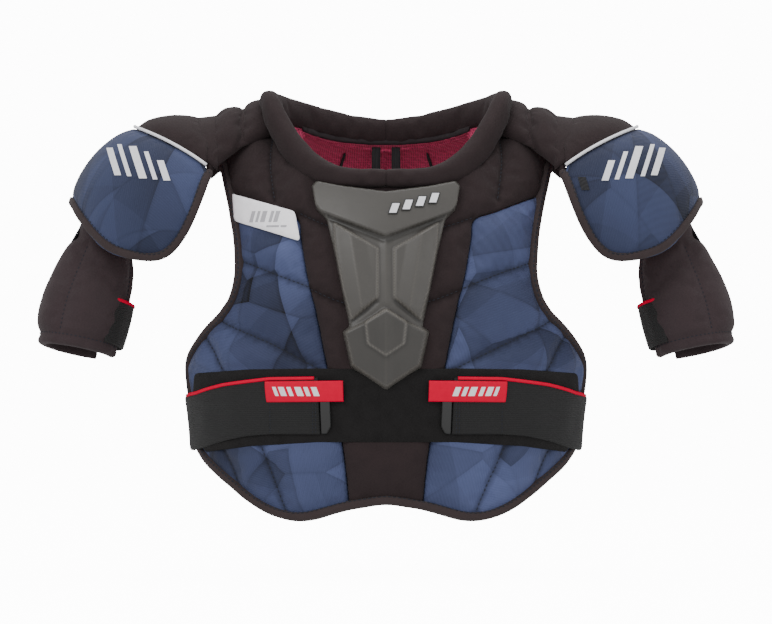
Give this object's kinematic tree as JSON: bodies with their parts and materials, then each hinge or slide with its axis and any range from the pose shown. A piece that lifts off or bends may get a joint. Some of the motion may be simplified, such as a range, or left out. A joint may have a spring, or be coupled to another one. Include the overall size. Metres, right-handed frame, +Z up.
{
  "type": "hockey shoulder pads",
  "caption": "Padded hockey vest with a collar, moulded breastbone plate, hinged shoulder caps, arm guards, and elastic belly straps that peel off a loop field.",
  "frame": {"origin": "on the vest's plane of symmetry, at the height of the lowest point of the chest hem, midway between the front and the back of the whole object", "axes": "+Z up as worn, the wearer faces -Y, +X towards the wearer's left"},
  "size_m": [0.6128, 0.2591, 0.3792],
  "materials": {
    "jersey_dark": "brushed polyester jersey",
    "back_fabric": "spacer mesh",
    "blue_print": "printed woven nylon",
    "liner_red": "knitted mesh",
    "binding_dark": "folded polyester tape",
    "plate_grey": "moulded, semi-gloss",
    "loop_black": "brushed loop pile",
    "elastic_black": "ribbed elastic webbing",
    "trim_red": "satin tape",
    "trim_white": "satin piping",
    "label_pale": "printed film",
    "webbing_black": "narrow webbing",
    "shell_plastic": "moulded polyethylene",
    "hook_black": "moulded hook tape"
  },
  "bodies": {
    "back": {"back_panel": "back_fabric", "back_liner": "liner_red", "back_binding": "binding_dark", "spine_guard": "back_fabric", "front_yoke_left": "jersey_dark", "front_yoke_right": "jersey_dark", "collar_left": "jersey_dark", "collar_right": "jersey_dark", "shoulder_pad_inner_left": "jersey_dark", "shoulder_pad_inner_right": "jersey_dark", "side_elastic_left": "elastic_black", "side_elastic_right": "elastic_black"},
    "hang_loop": {"hang_loop": "webbing_black"},
    "chest": {"chest_centre_panel": "jersey_dark", "chest_wing_left": "blue_print", "chest_wing_right": "blue_print", "chest_liner": "liner_red", "chest_binding": "binding_dark", "sternum_plate": "plate_grey", "loop_field": "loop_black", "chest_label": "label_pale"},
    "strap_left": {"strap_band_left": "elastic_black", "strap_piping_left": "trim_red", "strap_tab_left": "trim_red", "strap_tip_left": "hook_black", "strap_hook_left": "hook_black"},
    "arch_left": {"shoulder_pad_outer_left": "jersey_dark"},
    "cap_left": {"cap_cover_left": "blue_print", "cap_top_left": "jersey_dark", "cap_piping_left": "trim_white", "cap_binding_left": "binding_dark", "cap_shell_left": "shell_plastic", "cap_pad_left": "liner_red"},
    "hanger_left": {"hanger_web_left": "webbing_black"},
    "arm_left": {"arm_guard_left": "jersey_dark", "arm_plate_left": "shell_plastic"},
    "arm_strap_left": {"arm_strap_left": "elastic_black", "arm_strap_piping_left": "trim_red", "arm_strap_hook_left": "hook_black"},
    "strap_right": {"strap_band_right": "elastic_black", "strap_piping_right": "trim_red", "strap_tab_right": "trim_red", "strap_tip_right": "hook_black", "strap_hook_right": "hook_black"},
    "arch_right": {"shoulder_pad_outer_right": "jersey_dark"},
    "cap_right": {"cap_cover_right": "blue_print", "cap_top_right": "jersey_dark", "cap_piping_right": "trim_white", "cap_binding_right": "binding_dark", "cap_shell_right": "shell_plastic", "cap_pad_right": "liner_red"},
    "hanger_right": {"hanger_web_right": "webbing_black"},
    "arm_right": {"arm_guard_right": "jersey_dark", "arm_plate_right": "shell_plastic"},
    "arm_strap_right": {"arm_strap_right": "elastic_black", "arm_strap_piping_right": "trim_red", "arm_strap_hook_right": "hook_black"}
  },
  "joints": [
    {"name": "hang_loop_swing", "type": "hinge", "parent": "back", "child": "hang_loop", "pos_m": [0, 0.0668, 0.336], "axis": [-1, 0, 0], "range_deg": [0, 80]},
    {"name": "chest_stretch", "type": "hinge", "parent": "back", "child": "chest", "pos_m": [0, -0.089, 0.293], "axis": [-1, 0, 0], "range_deg": [0, 18], "stiffness_Nm_per_rad": 2.5},
    {"name": "strap_left_peel", "type": "hinge", "parent": "chest", "child": "strap_left", "pos_m": [0.181, -0.022, 0.095], "axis": [0, 0, 1], "range_deg": [0, 120]},
    {"name": "strap_right_peel", "type": "hinge", "parent": "chest", "child": "strap_right", "pos_m": [-0.181, -0.022, 0.095], "axis": [0, 0, -1], "range_deg": [0, 120]},
    {"name": "shoulder_left_lift", "type": "hinge", "parent": "back", "child": "arch_left", "pos_m": [0.1278, 0.019, 0.3653], "axis": [0, -1, 0], "range_deg": [0, 20]},
    {"name": "shoulder_right_lift", "type": "hinge", "parent": "back", "child": "arch_right", "pos_m": [-0.1278, 0.019, 0.3653], "axis": [0, 1, 0], "range_deg": [0, 20]},
    {"name": "cap_left_lift", "type": "hinge", "parent": "arch_left", "child": "cap_left", "pos_m": [0.1577, 0.007, 0.3535], "axis": [0, -1, 0], "range_deg": [0, 50]},
    {"name": "cap_right_lift", "type": "hinge", "parent": "arch_right", "child": "cap_right", "pos_m": [-0.1577, 0.007, 0.3535], "axis": [0, 1, 0], "range_deg": [0, 50]},
    {"name": "arm_left_swing", "type": "hinge", "parent": "cap_left", "child": "hanger_left", "pos_m": [0.262, 0.0025, 0.279], "axis": [1, 0, 0], "range_deg": [-12, 12]},
    {"name": "arm_right_swing", "type": "hinge", "parent": "cap_right", "child": "hanger_right", "pos_m": [-0.262, 0.0025, 0.279], "axis": [1, 0, 0], "range_deg": [-12, 12]},
    {"name": "arm_left_turn", "type": "hinge", "parent": "hanger_left", "child": "arm_left", "pos_m": [0.268, 0.0025, 0.275], "axis": [0, 1, 0], "range_deg": [0, 20]},
    {"name": "arm_right_turn", "type": "hinge", "parent": "hanger_right", "child": "arm_right", "pos_m": [-0.268, 0.0025, 0.275], "axis": [0, -1, 0], "range_deg": [0, 20]},
    {"name": "arm_strap_left_peel", "type": "hinge", "parent": "arm_left", "child": "arm_strap_left", "pos_m": [0.25449, 0.03107, 0.16524], "axis": [0.1992, -0.1263, -0.9718], "range_deg": [0, 100]},
    {"name": "arm_strap_right_peel", "type": "hinge", "parent": "arm_right", "child": "arm_strap_right", "pos_m": [-0.25449, 0.03107, 0.16524], "axis": [0.1992, 0.1263, 0.9718], "range_deg": [0, 100]}
  ]
}
